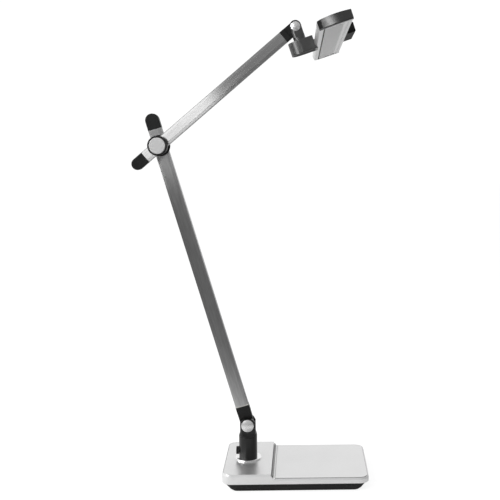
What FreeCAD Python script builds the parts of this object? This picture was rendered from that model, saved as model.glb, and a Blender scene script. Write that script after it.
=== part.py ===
import FreeCAD, Part
import math
import os

# Desk lamp with a weighted base, a swivel post, two flat arms and a long bar-shaped LED head.
# Millimetres. X runs along the base, Y across it, Z is up. The origin is where the post's axis
# meets the table top. Each arm, and the head, is drawn in a frame of its own that starts at its
# hinge, has x along the piece, y parallel to Y, and is then leaned about Y into place.

# ---- driving dimensions ----
BASE_LENGTH = 202.0
BASE_DEPTH = 130.0
BASE_LEFT = -33.0            # left end of the base, measured from the post's axis
BASE_CORNER = 13.0
FOOT_DROP = 0.8              # rubber showing below the lower tray
SHELL_BOTTOM = 11.0
TRAY_LEVEL = 18.9            # top of the pen-tray side
DECK_LEVEL = 24.7            # top of the raised side under the post
STEP_X = 34.6                # where the raised side ends
STEP_RADIUS = 5.2
WALL = 3.0
RIM_SLOPE = (2.6, 1.1)       # down the side and across the top of the sloped rim
EDGE_ROUND = 0.6
PLATE_INSET = 1.5
PLATE_GAP = 0.25
TRAY_FRONT_GAP = 0.9        # wider gap along the tray plate's front edge, for its seal
PLATE_SHEET = 1.5

POST_RADIUS = 12.9
POST_TOP = 57.4
SPIGOT_RADIUS = 8.0
LEAD_HOLE = 3.0
RUNNING = 0.05               # radial clearance of every shaft that turns in a hole
SLIP = 0.05                  # gap between flat faces that slide on each other
SCREW_LEVEL = 36.1           # height of the swivel lock's thumb screw
HINGE_Z = 75.2
CLEVIS_HALF_X = 10.7
CLEVIS_HALF_Y = 10.0
TONGUE_GAP = 5.3             # half the width of the slot between the post's cheeks

LOWER_LEAN = 106.2           # degrees from +X
LOWER_LENGTH = 410.0         # hinge to elbow
LOWER_HALF = 9.4             # half the arm's width
ARM_HALF_Y = 5.0             # half the arm's thickness, both arms
ARM_WALL = 1.7
FOOT_END = 27.6              # where the lower tube starts
CAP_START = 23.0             # end caps start this far past the elbow
LOWER_CAP_END = 44.6

UPPER_LEAN = 40.3
UPPER_LENGTH = 242.5         # elbow to wrist
UPPER_HALF = 8.15
UPPER_Y = -12.0              # the upper arm lies beside the lower one
UPPER_CAP_END = 46.0
TIP_START = 221.0
ELBOW_BOLT = 4.0
HUB_RADIUS = 14.3

HEAD_LEAN = 18.85
YOKE_RADIUS = 8.2
YOKE_SLOT = 4.9
YOKE_FOOT = -18.0            # lower face of the yoke in the head's frame
BLOCK_RADIUS = 17.2
BLOCK_TOP = -18.5
BLOCK_BOTTOM = -36.3
COVER_FACE = -36.0
COVER_TOP = -34.4
BAR_REAR = 18.0
BAR_FRONT = 57.2
BAR_TOP = -24.4
BAR_BOTTOM = -35.2
BAR_BULGE = 1.4              # how far the bar's long sides bow out
BAR_HALF = 181.5             # half the length of the extrusion
CAP_FACE = 190.0             # end cap's face, from the middle of the bar
LED_COUNT = 36
HOUSING_HALF = 42.5
HOUSING_FRONT = 70.5
HOUSING_TOP = -22.0
HOUSING_BOTTOM = -34.8

Vec = FreeCAD.Vector
ALONG_X = Vec(1, 0, 0)
ALONG_Y = Vec(0, 1, 0)
ALONG_Z = Vec(0, 0, 1)


# ---- small tools ----
def box(x0, x1, y0, y1, z0, z1):
    return Part.makeBox(x1 - x0, y1 - y0, z1 - z0, Vec(x0, y0, z0))


def rod(radius, start, end):
    start, end = Vec(*start), Vec(*end)
    span = end - start
    return Part.makeCylinder(radius, span.Length, start, span)


def ring(outer, inner, start, end):
    return rod(outer, start, end).cut(rod(inner, start, end))


def joined(*shapes):
    first, rest = shapes[0], list(shapes[1:])
    return first.fuse(rest).removeSplitter()


def parallel(edge, axis):
    """True for a straight edge that runs along axis."""
    if not isinstance(edge.Curve, Part.Line):
        return False
    return abs(edge.Curve.Direction.dot(axis)) > 0.999


def soft_box(x0, x1, y0, y1, z0, z1, radius, axis):
    """A box whose four edges along axis are rounded."""
    block = box(x0, x1, y0, y1, z0, z1)
    return block.makeFillet(radius, [e for e in block.Edges if parallel(e, axis)])


def rounded(shape, radius, test):
    return shape.makeFillet(radius, [e for e in shape.Edges if test(e)])


def bevelled(shape, size, test):
    return shape.makeChamfer(size, [e for e in shape.Edges if test(e)])


def lies_at(edge, axis, value):
    """True for an edge that lies wholly in the plane axis = value."""
    box_ = edge.BoundBox
    low = {"x": box_.XMin, "y": box_.YMin, "z": box_.ZMin}[axis]
    high = {"x": box_.XMax, "y": box_.YMax, "z": box_.ZMax}[axis]
    return abs(low - value) < 1e-3 and abs(high - value) < 1e-3


def dome(radius, edge, height):
    """A domed cap on the plane z = 0: a short wall up to edge, and a ball's crown above it."""
    rise = height - edge
    ball = (radius * radius + rise * rise) / (2 * rise)
    return rod(radius, (0, 0, 0), (0, 0, height)).common(Part.makeSphere(ball, Vec(0, 0, height - ball)))


def aimed(shape, origin, direction):
    """Moves a piece drawn along +Z to origin, pointing along direction."""
    moved = shape.copy()
    moved.Placement = FreeCAD.Placement(Vec(*origin), FreeCAD.Rotation(ALONG_Z, direction))
    return moved


def leaned(shape, origin, degrees):
    """Moves a piece from its own frame to origin, with its x at degrees above +X."""
    moved = shape.copy()
    moved.Placement = FreeCAD.Placement(
        Vec(*origin), FreeCAD.Rotation(ALONG_Y, -degrees)
    ).multiply(moved.Placement)
    return moved


def along(origin, degrees, distance):
    turn = math.radians(degrees)
    return (
        origin[0] + distance * math.cos(turn),
        origin[1],
        origin[2] + distance * math.sin(turn),
    )


HINGE = (0.0, 0.0, HINGE_Z)
ELBOW = along(HINGE, LOWER_LEAN, LOWER_LENGTH)
WRIST = along((ELBOW[0], UPPER_Y, ELBOW[2]), UPPER_LEAN, UPPER_LENGTH)


def on_lower(shape):
    return leaned(shape, HINGE, LOWER_LEAN)


def on_upper(shape):
    return leaned(shape, (ELBOW[0], UPPER_Y, ELBOW[2]), UPPER_LEAN)


def on_head(shape):
    return leaned(shape, WRIST, HEAD_LEAN)


def write(name, *shapes):
    """Writes one node: a single solid, or a group of alike ones."""
    solids = [s for shape in shapes for s in shape.Solids]
    whole = solids[0] if len(solids) == 1 else Part.makeCompound(solids)
    if not whole.isValid():
        raise ValueError(name + " is not a valid shape")
    whole.exportStep("parts/" + name + ".step")
    volume = sum(s.Volume for s in solids)
    print("%-20s %3d solid(s) %10.1f mm3" % (name, len(solids), volume))


# ---- base ----
def base_outline(inset, z0, z1):
    """The base's plan, drawn in by inset all round, between two heights."""
    half = BASE_DEPTH / 2 - inset
    left = BASE_LEFT + inset
    right = BASE_LEFT + BASE_LENGTH - inset
    return soft_box(left, right, -half, half, z0, z1, BASE_CORNER - inset, ALONG_Z)


FOOT_SPOTS = [(x, y) for x in (-8.0, 145.0) for y in (-48.0, 48.0)] + [(0.0, 0.0)]
SCREW_SPOTS = [(x, y) for x in (14.0, 128.0) for y in (-49.0, 49.0)]
FOOT_RADIUS = 6.0
FOOT_POCKET = 1.3
FLOOR_TOP = 3.2
BOSS_RADIUS = 4.0
SCREW_RADIUS = 1.5
STUD_RADIUS = 7.0
NUT_TOP = 20.9
TRAY_ROOF = 3.5              # tray surface down to the inside of its roof
INLET = (8.0, 16.8)          # x and height of the power inlet in the rear wall
INLET_RADIUS = 4.6


def step_cutter():
    """Everything in front of the raised side's hollow slope, and above the tray side."""
    far, above = BASE_LENGTH * 2, DECK_LEVEL + 5
    toe = STEP_X + STEP_RADIUS
    bend = STEP_RADIUS * (1 - math.sqrt(0.5))
    corners = [
        Vec(toe, 0, TRAY_LEVEL),
        Vec(toe, 0, 0),
        Vec(far, 0, 0),
        Vec(far, 0, above),
        Vec(STEP_X, 0, above),
        Vec(STEP_X, 0, TRAY_LEVEL + STEP_RADIUS),
    ]
    sides = [Part.LineSegment(a, b).toShape() for a, b in zip(corners, corners[1:])]
    middle = Vec(STEP_X + bend, 0, TRAY_LEVEL + bend)
    sides.append(Part.Arc(corners[-1], middle, corners[0]).toShape())
    cutter = Part.Face(Part.Wire(sides)).extrude(Vec(0, BASE_DEPTH * 2, 0))
    cutter.translate(Vec(0, -BASE_DEPTH, 0))
    return cutter


def sloped_rim(block, z1, down, across):
    """Slopes the rim of a rounded block inwards towards its top."""
    low = plan_wire(BASE_LEFT, BASE_LEFT + BASE_LENGTH, BASE_DEPTH / 2, BASE_CORNER, z1 - down)
    high = plan_wire(BASE_LEFT + across, BASE_LEFT + BASE_LENGTH - across, BASE_DEPTH / 2 - across,
                     BASE_CORNER - across, z1)
    lower = block.common(box(-BASE_LENGTH, 2 * BASE_LENGTH, -BASE_DEPTH, BASE_DEPTH, 0, z1 - down))
    return joined(lower, Part.makeLoft([low, high], True, True))


def soft_top(z1):
    """The base's full outline up to z1, with its rim rounded."""
    block = base_outline(0, SHELL_BOTTOM, z1)
    block = rounded(block, EDGE_ROUND, lambda e: lies_at(e, "z", SHELL_BOTTOM))
    down, across = RIM_SLOPE
    return sloped_rim(block, z1, down, across)


def base_shell():
    deck_roof = NUT_TOP
    tray_roof = TRAY_LEVEL - TRAY_ROOF
    shell = joined(soft_top(TRAY_LEVEL), soft_top(DECK_LEVEL).cut(step_cutter()))
    left_room = base_outline(WALL, SHELL_BOTTOM - 1, deck_roof).common(
        box(BASE_LEFT - 5, STEP_X - WALL, -BASE_DEPTH, BASE_DEPTH, 0, DECK_LEVEL))
    right_room = base_outline(WALL, SHELL_BOTTOM - 1, tray_roof)
    shell = shell.cut(left_room).cut(right_room)
    for x, y in SCREW_SPOTS:
        roof = deck_roof if x < STEP_X else tray_roof
        post = ring(BOSS_RADIUS, SCREW_RADIUS, (x, y, FLOOR_TOP), (x, y, roof - 2))
        cap = rod(BOSS_RADIUS, (x, y, roof - 2), (x, y, roof + 0.5))
        shell = joined(shell, post, cap)
    shell = shell.cut(deck_pocket()).cut(tray_pocket())
    shell = shell.cut(rod(STUD_RADIUS + 0.2, (0, 0, 0), (0, 0, DECK_LEVEL + 1)))
    hole_x, hole_z = INLET
    rear = BASE_DEPTH / 2
    return shell.cut(rod(INLET_RADIUS, (hole_x, rear - 12, hole_z), (hole_x, rear + 8, hole_z)))


def deck_area(inset, z0, z1):
    area = base_outline(inset, z0, z1)
    return area.common(box(BASE_LEFT, STEP_X, -BASE_DEPTH, BASE_DEPTH, z0, z1))


def tray_area(inset, z0, z1):
    area = base_outline(inset, z0, z1)
    start = STEP_X + STEP_RADIUS + inset - PLATE_INSET
    window = soft_box(start, BASE_LENGTH, -BASE_DEPTH / 2 + inset, BASE_DEPTH / 2 - inset,
                      z0, z1, 3.0, ALONG_Z)
    return area.common(window)


def deck_pocket():
    return deck_area(PLATE_INSET, DECK_LEVEL - PLATE_SHEET, DECK_LEVEL + 3).fuse(
        box(STEP_X - 1, STEP_X + 1, -BASE_DEPTH / 2 + PLATE_INSET, BASE_DEPTH / 2 - PLATE_INSET,
            DECK_LEVEL - PLATE_SHEET, DECK_LEVEL + 3))


def tray_pocket():
    return tray_area(PLATE_INSET, TRAY_LEVEL - PLATE_SHEET, TRAY_LEVEL + 3)


def deck_plate():
    plate = deck_area(PLATE_INSET + PLATE_GAP, DECK_LEVEL - PLATE_SHEET, DECK_LEVEL)
    plate = bevelled(plate, 0.3, lambda e: lies_at(e, "z", DECK_LEVEL))
    return plate.cut(rod(STUD_RADIUS + 0.2, (0, 0, 0), (0, 0, DECK_LEVEL + 1)))


def tray_plate():
    plate = tray_area(PLATE_INSET + PLATE_GAP, TRAY_LEVEL - PLATE_SHEET, TRAY_LEVEL)
    inset = PLATE_INSET + PLATE_GAP
    front = PLATE_INSET + TRAY_FRONT_GAP - BASE_DEPTH / 2
    plate = plate.common(soft_box(0, BASE_LEFT + BASE_LENGTH - inset, front, BASE_DEPTH,
                                  TRAY_LEVEL - PLATE_SHEET, TRAY_LEVEL, BASE_CORNER - inset, ALONG_Z))
    return bevelled(plate, 0.3, lambda e: lies_at(e, "z", TRAY_LEVEL))


def plan_wire(left, right, half, radius, z):
    """A rounded rectangle in the plane z."""
    block = soft_box(left, right, -half, half, z, z + 1, radius, ALONG_Z)
    low = [f for f in block.Faces if abs(f.CenterOfMass.z - z) < 1e-6]
    return low[0].OuterWire


def base_tray():
    right = BASE_LEFT + BASE_LENGTH
    half = BASE_DEPTH / 2
    low = plan_wire(BASE_LEFT + 14.0, right - 13.0, half - 4.0, 8.0, FOOT_DROP)
    mid = plan_wire(BASE_LEFT + 11.0, right - 10.0, half - 3.2, 9.5, FOOT_DROP + 1.6)
    high = plan_wire(BASE_LEFT + 2.6, right - 2.6, half - 2.2, 11.0, SHELL_BOTTOM)
    tray = joined(Part.makeLoft([low, mid], True, True), Part.makeLoft([mid, high], True, True))
    lip = base_outline(WALL + 0.15, SHELL_BOTTOM, SHELL_BOTTOM + 2.2)
    tray = joined(tray, lip)
    room = soft_box(BASE_LEFT + 17, right - 16, -half + 8, half - 8, FLOOR_TOP, 40, 7.0, ALONG_Z)
    tray = tray.cut(room)
    hole_x, hole_z = INLET
    rear = BASE_DEPTH / 2
    tray = tray.cut(rod(INLET_RADIUS + 0.2, (hole_x, rear - 13, hole_z), (hole_x, rear, hole_z)))
    tray = tray.cut(box(hole_x - INLET_RADIUS - 0.2, hole_x + INLET_RADIUS + 0.2, rear - 13, rear,
                        hole_z, hole_z + 9))
    for x, y in FOOT_SPOTS:
        radius = foot_radius(x, y)
        tray = tray.cut(rod(radius + 0.05, (x, y, 0), (x, y, FOOT_DROP + FOOT_POCKET)))
    for x, y in SCREW_SPOTS:
        tray = tray.cut(rod(SCREW_RADIUS + 0.2, (x, y, 0), (x, y, FLOOR_TOP + 1)))
        tray = tray.cut(rod(3.1, (x, y, 0), (x, y, FOOT_DROP + 1.4)))
    return tray


def foot_radius(x, y):
    return FOOT_RADIUS * 1.5 if (x, y) == (0.0, 0.0) else FOOT_RADIUS


def rubber_feet():
    feet = []
    for x, y in FOOT_SPOTS:
        foot = rod(foot_radius(x, y), (x, y, 0), (x, y, FOOT_DROP + FOOT_POCKET))
        feet.append(bevelled(foot, 0.25, lambda e: lies_at(e, "z", 0)))
    return feet


def base_screws():
    screws = []
    for x, y in SCREW_SPOTS:
        head = rod(3.0, (x, y, FOOT_DROP + 0.2), (x, y, FOOT_DROP + 1.4))
        shank = rod(SCREW_RADIUS - 0.02, (x, y, FOOT_DROP + 1.4), (x, y, FLOOR_TOP + 6))
        slot = box(x - 1.8, x + 1.8, y - 0.3, y + 0.3, 0, FOOT_DROP + 0.8)
        cross = box(x - 0.3, x + 0.3, y - 1.8, y + 1.8, 0, FOOT_DROP + 0.8)
        screws.append(joined(head, shank).cut(slot).cut(cross))
    return screws


BALLAST_TOP = 14.8


def ballast_plate():
    plate = soft_box(42, 120, -50, 50, FLOOR_TOP, BALLAST_TOP, 3.0, ALONG_Z)
    return bevelled(plate, 0.6, lambda e: lies_at(e, "z", BALLAST_TOP))


def dc_inlet():
    hole_x, hole_z = INLET
    rear = BASE_DEPTH / 2
    flange = rod(INLET_RADIUS + 1.2, (hole_x, rear, hole_z), (hole_x, rear + 1.2, hole_z))
    flange = flange.common(box(-50, 50, 0, 100, SHELL_BOTTOM + EDGE_ROUND, 30))
    barrel = rod(INLET_RADIUS - 0.1, (hole_x, rear - 11, hole_z), (hole_x, rear, hole_z))
    socket = rod(2.75, (hole_x, rear - 8, hole_z), (hole_x, rear + 2, hole_z))
    return joined(flange, barrel).cut(socket)


def dc_pin():
    hole_x, hole_z = INLET
    rear = BASE_DEPTH / 2
    pin = rod(1.0, (hole_x, rear - 8, hole_z), (hole_x, rear + 0.2, hole_z))
    return rounded(pin, 0.6, lambda e: lies_at(e, "y", rear + 0.2))


def base_lead():
    """Two straight runs with one bend, from the inlet to the foot of the post's stud."""
    hole_x, hole_z = INLET
    start = Vec(hole_x, BASE_DEPTH / 2 - 11, hole_z)
    turn = 8.0
    low = 7.0
    points = [start, Vec(hole_x, 25, hole_z), Vec(hole_x, 12, low), Vec(0, 0, low)]
    runs = [Part.makeCylinder(1.6, (b - a).Length, a, b - a) for a, b in zip(points, points[1:])]
    elbows = [Part.makeSphere(1.6, p) for p in points[1:]]
    riser = Part.makeCylinder(1.6, turn, points[-1], ALONG_Z)
    return joined(*(runs + elbows + [riser]))


def collar_ring():
    low, high = DECK_LEVEL, DECK_LEVEL + 2.3
    hoop = ring(19.2, POST_RADIUS + 0.05, (0, 0, low), (0, 0, high))
    outer = lambda e: lies_at(e, "z", high) and e.BoundBox.XMax > 18
    return rounded(hoop, 1.6, outer)


def post_socket():
    body = rod(POST_RADIUS, (0, 0, DECK_LEVEL), (0, 0, POST_TOP))
    body = bevelled(body, 0.4, lambda e: lies_at(e, "z", POST_TOP))
    stud = rod(STUD_RADIUS, (0, 0, 12.5), (0, 0, DECK_LEVEL))
    body = joined(body, stud)
    body = body.cut(rod(LEAD_HOLE, (0, 0, 0), (0, 0, POST_TOP)))
    body = body.cut(rod(SPIGOT_RADIUS + RUNNING, (0, 0, 30), (0, 0, POST_TOP + 1)))
    return body.cut(rod(2.0 + RUNNING, (-POST_RADIUS - 2, 0, SCREW_LEVEL), (-5, 0, SCREW_LEVEL)))


def hexagon(across, height):
    radius = across / math.sqrt(3)
    corners = [Vec(radius * math.cos(math.radians(a)), radius * math.sin(math.radians(a)), 0)
               for a in range(0, 361, 60)]
    return Part.Face(Part.makePolygon(corners)).extrude(Vec(0, 0, height))


def post_nut():
    nut = aimed(hexagon(21, 5), (0, 0, NUT_TOP - 5), ALONG_Z)
    return nut.cut(rod(STUD_RADIUS, (0, 0, 0), (0, 0, 30)))


def swivel_washer():
    return ring(POST_RADIUS - 0.5, SPIGOT_RADIUS + 0.3, (0, 0, POST_TOP), (0, 0, POST_TOP + 0.6))


# ---- swivel lock ----
KNOB_RADIUS = 5.6
KNOB_INNER = -POST_RADIUS - 0.3
KNOB_OUTER = KNOB_INNER - 3.7


def thumb_knob():
    knob = rod(KNOB_RADIUS, (KNOB_OUTER, 0, SCREW_LEVEL), (KNOB_INNER, 0, SCREW_LEVEL))
    knob = bevelled(knob, 0.5, lambda e: lies_at(e, "x", KNOB_OUTER))
    flutes = []
    for k in range(20):
        turn = math.radians(18 * k)
        y = (KNOB_RADIUS + 0.15) * math.cos(turn)
        z = SCREW_LEVEL + (KNOB_RADIUS + 0.15) * math.sin(turn)
        flutes.append(rod(0.5, (KNOB_OUTER - 1, y, z), (KNOB_INNER + 1, y, z)))
    knob = knob.cut(flutes)
    dish = rod(3.2, (KNOB_OUTER - 1, 0, SCREW_LEVEL), (KNOB_OUTER + 0.5, 0, SCREW_LEVEL))
    return knob.cut(dish)


def thumb_shank():
    return rod(2.0, (KNOB_INNER, 0, SCREW_LEVEL), (-7.3, 0, SCREW_LEVEL))


# ---- turning head of the post ----
CLEVIS_BOTTOM = POST_TOP + 0.6 + SLIP
SHOULDER = CLEVIS_BOTTOM + 0.6
CHEEK_FOOT = 63.7
SLOT_FLOOR = 64.9
GROOVES = (59.2, 60.9)
TILT_BOLT = 3.0


def outline_xz(points, depth):
    face = Part.Face(Part.makePolygon([Vec(x, -depth, z) for x, z in points + points[:1]]))
    return face.extrude(Vec(0, 2 * depth, 0))


def outline_yz(points, depth):
    face = Part.Face(Part.makePolygon([Vec(-depth, y, z) for y, z in points + points[:1]]))
    return face.extrude(Vec(2 * depth, 0, 0))


def mirrored(points):
    """Right-hand half of an outline, from bottom to top, made whole."""
    return points + [(-a, b) for a, b in reversed(points)]


def clevis():
    body = rod(POST_RADIUS, (0, 0, CLEVIS_BOTTOM), (0, 0, 95))
    front = mirrored([(POST_RADIUS + 1, CLEVIS_BOTTOM), (POST_RADIUS + 1, SHOULDER),
                      (POST_RADIUS, SHOULDER), (CLEVIS_HALF_X, CHEEK_FOOT),
                      (CLEVIS_HALF_X, 79.2), (7.4, 83.7), (5.6, 84.7)])
    side = mirrored([(POST_RADIUS + 1, CLEVIS_BOTTOM), (POST_RADIUS + 1, SHOULDER),
                     (POST_RADIUS, SHOULDER), (CLEVIS_HALF_Y, CHEEK_FOOT),
                     (CLEVIS_HALF_Y, 95)])
    body = body.common(outline_xz(front, 20)).common(outline_yz(side, 20))
    for z in GROOVES:
        body = body.cut(ring(20, 11.7, (0, 0, z), (0, 0, z + 0.35)))
    slot = box(-20, 20, -TONGUE_GAP, TONGUE_GAP, SLOT_FLOOR, 100)
    body = body.cut(slot)
    body = body.cut(rod(TILT_BOLT, (0, -20, HINGE_Z), (0, 20, HINGE_Z)))
    body = body.cut(rod(SPIGOT_RADIUS, (0, 0, 50), (0, 0, 63.4)))
    return body.cut(rod(LEAD_HOLE, (0, 0, 50), (0, 0, 70)))


def swivel_spigot():
    low, high = 30.5, 63.4
    pin = ring(SPIGOT_RADIUS, LEAD_HOLE, (0, 0, low), (0, 0, high))
    groove = ring(SPIGOT_RADIUS + 1, 7.0, (0, 0, SCREW_LEVEL - 2.4), (0, 0, SCREW_LEVEL + 2.4))
    return pin.cut(groove)


def tilt_bolt():
    half = CLEVIS_HALF_Y
    return rod(TILT_BOLT, (0, -half, HINGE_Z), (0, half, HINGE_Z))


def tilt_cap(side):
    return aimed(dome(8.7, 1.1, 3.1), (0, side * CLEVIS_HALF_Y, HINGE_Z), Vec(0, side, 0))


def tilt_washers():
    rings = []
    for side in (-1, 1):
        inner, outer = side * (TONGUE_HALF + SLIP), side * TONGUE_GAP
        rings.append(ring(8.5, TILT_BOLT, (0, inner, HINGE_Z), (0, outer, HINGE_Z)))
    return rings


# ---- lower arm, in its own frame ----
TONGUE_HALF = 4.2
PLUG_DEPTH = 16.0


LAND_STEP = 0.3              # the arm's middle stands this far proud of its flanks
FLANK_WIDTH = 3.9            # from the arm's edge to its raised middle
FLANK_DROP = 0.6             # how far a flank falls towards the edge


def arm_tube(start, end, half):
    """A flat tube whose broad faces have a raised middle and gently sloping flanks."""
    quarter = [(ARM_HALF_Y, half - FLANK_WIDTH), (ARM_HALF_Y - LAND_STEP, half - FLANK_WIDTH + 0.12),
               (ARM_HALF_Y - FLANK_DROP, half - 0.75), (ARM_HALF_Y - FLANK_DROP - 0.3, half - 0.25),
               (ARM_HALF_Y - FLANK_DROP - 0.9, half)]
    upper = quarter + [(-y, z) for y, z in reversed(quarter)]
    points = [Vec(start, y, z) for y, z in upper + [(-y, -z) for y, z in upper]]
    outer = Part.Face(Part.makePolygon(points + points[:1])).extrude(Vec(end - start, 0, 0))
    side, edge = ARM_HALF_Y - ARM_WALL, half - ARM_WALL
    return outer.cut(soft_box(start - 1, end + 1, -side, side, -edge, edge, 0.7, ALONG_X))


def arm_plug(start, end, half):
    """The part of an end fitting that pushes into the tube."""
    side, edge = ARM_HALF_Y - ARM_WALL - 0.1, half - ARM_WALL - 0.1
    return soft_box(start, end, -side, side, -edge, edge, 0.7, ALONG_X)


def arm_cap(start, end, half):
    """A half-round end cap and its plug. start is the tube's end, and end the cap's tip."""
    way = 1 if end > start else -1
    centre = end - way * half
    x0, x1 = sorted((start, centre))
    body = joined(box(x0, x1, -ARM_HALF_Y, ARM_HALF_Y, -half, half),
                  rod(half, (centre, -ARM_HALF_Y, 0), (centre, ARM_HALF_Y, 0)))
    body = rounded(body, 1.2, lambda e: (lies_at(e, "y", -ARM_HALF_Y) or lies_at(e, "y", ARM_HALF_Y))
                   and not parallel(e, ALONG_Z))
    p0, p1 = sorted((start - way * 9, start))
    return joined(body, arm_plug(p0, p1, half))


def lower_foot():
    tongue = joined(rod(LOWER_HALF, (0, -TONGUE_HALF, 0), (0, TONGUE_HALF, 0)),
                    box(0, FOOT_END, -TONGUE_HALF, TONGUE_HALF, -LOWER_HALF, LOWER_HALF))
    shoulder = soft_box(17.8, FOOT_END, -5.3, 5.3, -LOWER_HALF - 0.2, LOWER_HALF + 0.2, 1.2, ALONG_X)
    foot = joined(tongue, shoulder, arm_plug(FOOT_END, FOOT_END + PLUG_DEPTH, LOWER_HALF))
    foot = foot.cut(rod(TILT_BOLT + RUNNING, (0, -9, 0), (0, 9, 0)))
    for x in RIVETS_LOW:
        foot = foot.cut(rod(1.5, (x, 0, 0), (x, 9, 0)))
    return foot


RIVETS_LOW = (FOOT_END + 5, FOOT_END + 11)
RIVETS_HIGH = (TIP_START - 11, TIP_START - 5)


def lower_tube():
    tube = arm_tube(FOOT_END, LOWER_LENGTH + CAP_START, LOWER_HALF)
    tube = tube.cut(rod(ELBOW_BOLT + 1, (LOWER_LENGTH, -9, 0), (LOWER_LENGTH, 9, 0)))
    for x in RIVETS_LOW:
        tube = tube.cut(rod(1.5, (x, 0, 0), (x, 9, 0)))
    return tube


def rivet(x):
    """A round-headed rivet in the back of an arm."""
    head = aimed(dome(2.6, 0.3, 1.1), (x, ARM_HALF_Y, 0), ALONG_Y)
    return joined(head, rod(1.5, (x, 0, 0), (x, ARM_HALF_Y, 0)))


def elbow_bush():
    return ring(ELBOW_BOLT + 1, ELBOW_BOLT + RUNNING,
                (LOWER_LENGTH, -ARM_HALF_Y, 0), (LOWER_LENGTH, ARM_HALF_Y, 0))


def elbow_hub():
    back, front = -ARM_HALF_Y, UPPER_Y + ARM_HALF_Y + SLIP
    disc = ring(HUB_RADIUS, ELBOW_BOLT + RUNNING, (LOWER_LENGTH, front, 0), (LOWER_LENGTH, back, 0))
    return disc


def flat_lead(start, end):
    """The twin lead inside an arm, between its end plugs."""
    cores = [rod(1.1, (start, 0, z), (end, 0, z)) for z in (-4.4, -2.4)]
    web = box(start, end, -0.5, 0.5, -4.4, -2.4)
    return joined(cores[0], cores[1], web)


# ---- upper arm, in its own frame: the elbow's bolt is at x = 0 ----
TIP_TONGUE = 3.8
TIP_SHOULDER = UPPER_LENGTH - 14.2
WRIST_BOLT = 2.5
KNOB_BACK = -ARM_HALF_Y
KNOB_FACE = -16.0            # front of the elbow's knob
RING_RADIUS = 13.2
DISC_RADIUS = 11.1


def upper_tube():
    tube = arm_tube(-CAP_START - 0.7, TIP_START, UPPER_HALF)
    tube = tube.cut(rod(ELBOW_BOLT, (0, -9, 0), (0, 9, 0)))
    for x in RIVETS_HIGH:
        tube = tube.cut(rod(1.5, (x, 0, 0), (x, 9, 0)))
    return tube


def tip_fitting():
    tongue = joined(rod(8.0, (UPPER_LENGTH, -TIP_TONGUE, 0), (UPPER_LENGTH, TIP_TONGUE, 0)),
                    box(TIP_START, UPPER_LENGTH, -TIP_TONGUE, TIP_TONGUE, -8.0, 8.0))
    shoulder = soft_box(TIP_START, TIP_SHOULDER, -ARM_HALF_Y, ARM_HALF_Y,
                        -UPPER_HALF, UPPER_HALF, 1.2, ALONG_X)
    tip = joined(tongue, shoulder, arm_plug(TIP_START - PLUG_DEPTH, TIP_START, UPPER_HALF))
    tip = tip.cut(rod(WRIST_BOLT + RUNNING, (UPPER_LENGTH, -9, 0), (UPPER_LENGTH, 9, 0)))
    for x in RIVETS_HIGH:
        tip = tip.cut(rod(1.5, (x, 0, 0), (x, 9, 0)))
    return tip


REAR_FACE = -UPPER_Y + ARM_HALF_Y    # back of the lower arm, in the upper arm's frame


def elbow_bolt():
    return rod(ELBOW_BOLT, (0, KNOB_FACE + 4, 0), (0, REAR_FACE + 6.5, 0))


def knob_ring():
    """The black cup of the elbow's knob, with a shallow dish for its disc."""
    cup = rod(RING_RADIUS, (0, KNOB_FACE, 0), (0, KNOB_BACK, 0))
    cup = rounded(cup, 0.5, lambda e: lies_at(e, "y", KNOB_FACE))
    cup = cup.cut(rod(DISC_RADIUS, (0, KNOB_FACE - 1, 0), (0, KNOB_FACE + 1.6, 0)))
    return cup.cut(rod(ELBOW_BOLT, (0, KNOB_FACE + 4, 0), (0, 9, 0)))


def knob_disc():
    disc = rod(DISC_RADIUS, (0, KNOB_FACE - 0.4, 0), (0, KNOB_FACE + 1.6, 0))
    return bevelled(disc, 0.9, lambda e: lies_at(e, "y", KNOB_FACE - 0.4))


def spring_washer():
    return ring(8.4, ELBOW_BOLT, (0, REAR_FACE + SLIP, 0), (0, REAR_FACE + 1.2, 0))


def elbow_nut():
    nut = aimed(hexagon(13, 4.6), (0, REAR_FACE + 1.2, 0), ALONG_Y)
    return nut.cut(rod(ELBOW_BOLT, (0, 0, 0), (0, 40, 0)))


def elbow_rear_cap():
    shell = aimed(dome(11.0, 5.5, 9.0), (0, REAR_FACE + SLIP, 0), ALONG_Y)
    return shell.cut(aimed(dome(9.0, 5.2, 7.4), (0, REAR_FACE + SLIP, 0), ALONG_Y))


# ---- wrist and head, in the head's frame: the wrist's bolt is at the origin, light falls to -z ----
def yoke():
    top = rod(YOKE_RADIUS, (0, -YOKE_RADIUS, 0), (0, YOKE_RADIUS, 0))
    cheeks = box(-YOKE_RADIUS, YOKE_RADIUS, -YOKE_RADIUS, YOKE_RADIUS, -14, 0)
    upper = joined(top, cheeks).common(rod(9.2, (0, 0, -14), (0, 0, 20)))
    stem = rod(YOKE_RADIUS, (0, 0, YOKE_FOOT), (0, 0, -12))
    bosses = rod(6.8, (0, -YOKE_RADIUS, 0), (0, YOKE_RADIUS, 0))
    body = joined(upper, stem, bosses)
    body = body.cut(box(-20, 20, -YOKE_SLOT, YOKE_SLOT, -13.6, 20))
    body = body.cut(rod(WRIST_BOLT, (0, -20, 0), (0, 20, 0)))
    return body.cut(rod(PAN_PIN, (0, 0, YOKE_FOOT - 1), (0, 0, -15)))


PAN_PIN = 4.0
PIN_END = -31.0


def wrist_bolt():
    return rod(WRIST_BOLT, (0, -YOKE_RADIUS, 0), (0, YOKE_RADIUS, 0))


def wrist_cap(side):
    return aimed(dome(6.3, 1.0, 3.2), (0, side * YOKE_RADIUS, 0), Vec(0, side, 0))


def wrist_washers():
    rings = []
    for side in (-1, 1):
        inner, outer = side * (TIP_TONGUE + SLIP), side * YOKE_SLOT
        rings.append(ring(7.0, WRIST_BOLT, (0, inner, 0), (0, outer, 0)))
    return rings


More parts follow.
